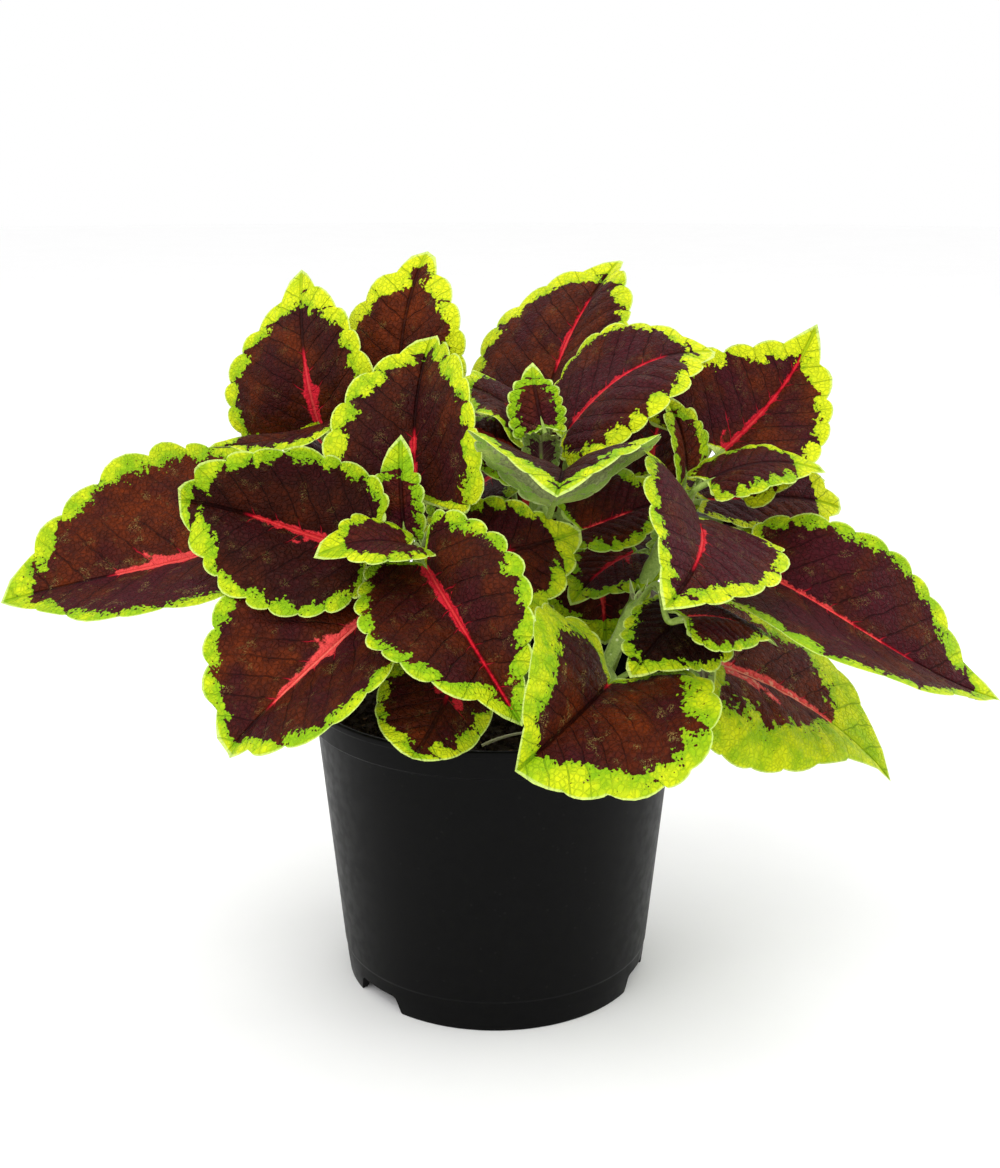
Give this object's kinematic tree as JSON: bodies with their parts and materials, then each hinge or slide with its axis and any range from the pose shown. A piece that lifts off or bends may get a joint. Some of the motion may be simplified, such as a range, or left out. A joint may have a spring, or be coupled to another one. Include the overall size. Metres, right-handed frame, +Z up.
{
  "type": "potted coleus plant",
  "caption": "Bushy coleus with dark maroon, lime-edged leaves on square stems, rooted in potting soil in a round black nursery pot.",
  "frame": {"origin": "on the ground under the middle of the pot's foot, which is also the middle of the plant's bounding box to within 2 mm", "axes": "+Z up; -Y is the front, where the leaves hang over the rim; +X is the plant's right seen from the front"},
  "size_m": [0.382, 0.2443, 0.285],
  "materials": {
    "leaf": "dark maroon blade with a red midrib and a wide lime scalloped margin, soft satin sheen",
    "young_leaf": "young blade, maroon centre within a broad lime margin, soft satin sheen",
    "stem": "pale green square stem with fine hairs",
    "potting_soil": "dark moist crumbly potting mix",
    "pot_plastic": "black satin moulded plastic"
  },
  "bodies": {
    "root": {"nursery_pot": "pot_plastic", "potting_soil": "potting_soil", "front_stem": "stem", "middle_stem": "stem", "right_stem": "stem", "low_stem": "stem", "back_left_stem": "stem", "back_right_stem": "stem", "front_leaf_left": "leaf", "front_leaf_lower_left": "leaf", "front_leaf_upright": "leaf", "front_young_leaf_upright": "young_leaf", "front_young_leaf_left": "young_leaf", "front_leaf_centre": "leaf", "front_leaf_right": "leaf", "front_leaf_over_rim": "leaf", "middle_leaf_back": "leaf", "middle_leaf_right": "leaf", "middle_leaf_cupped": "leaf", "middle_leaf_left": "leaf", "middle_leaf_lower_left": "leaf", "middle_young_leaf_upright": "young_leaf", "middle_young_leaf_front": "young_leaf", "middle_leaf_lower_right": "leaf", "middle_leaf_lower_back": "leaf", "middle_leaf_hanging": "leaf", "right_leaf_saddle": "leaf", "right_leaf_far_right": "leaf", "right_leaf_upper": "leaf", "right_leaf_small": "leaf", "right_leaf_back": "leaf", "right_leaf_folded": "young_leaf", "right_leaf_rear_upper": "leaf", "right_leaf_rear_lower": "leaf", "right_leaf_inner": "leaf", "low_leaf_over_rim": "leaf", "low_leaf_inner": "leaf", "low_leaf_right": "leaf", "low_leaf_drooping": "leaf", "rear_left_leaf_wide": "leaf", "rear_left_leaf_upper": "leaf", "rear_left_leaf_tall": "leaf", "rear_left_leaf_edge_on": "leaf", "rear_left_leaf_1": "leaf", "rear_left_leaf_2": "leaf", "rear_left_leaf_3": "leaf", "rear_left_leaf_4": "leaf", "rear_left_leaf_5": "leaf", "rear_left_leaf_6": "leaf", "rear_right_leaf_inner": "leaf", "rear_right_leaf_1": "leaf", "rear_right_leaf_2": "leaf", "rear_right_leaf_3": "leaf", "rear_right_leaf_4": "leaf", "rear_right_leaf_5": "leaf", "rear_right_leaf_6": "leaf", "rear_right_leaf_7": "leaf"}
  },
  "joints": []
}
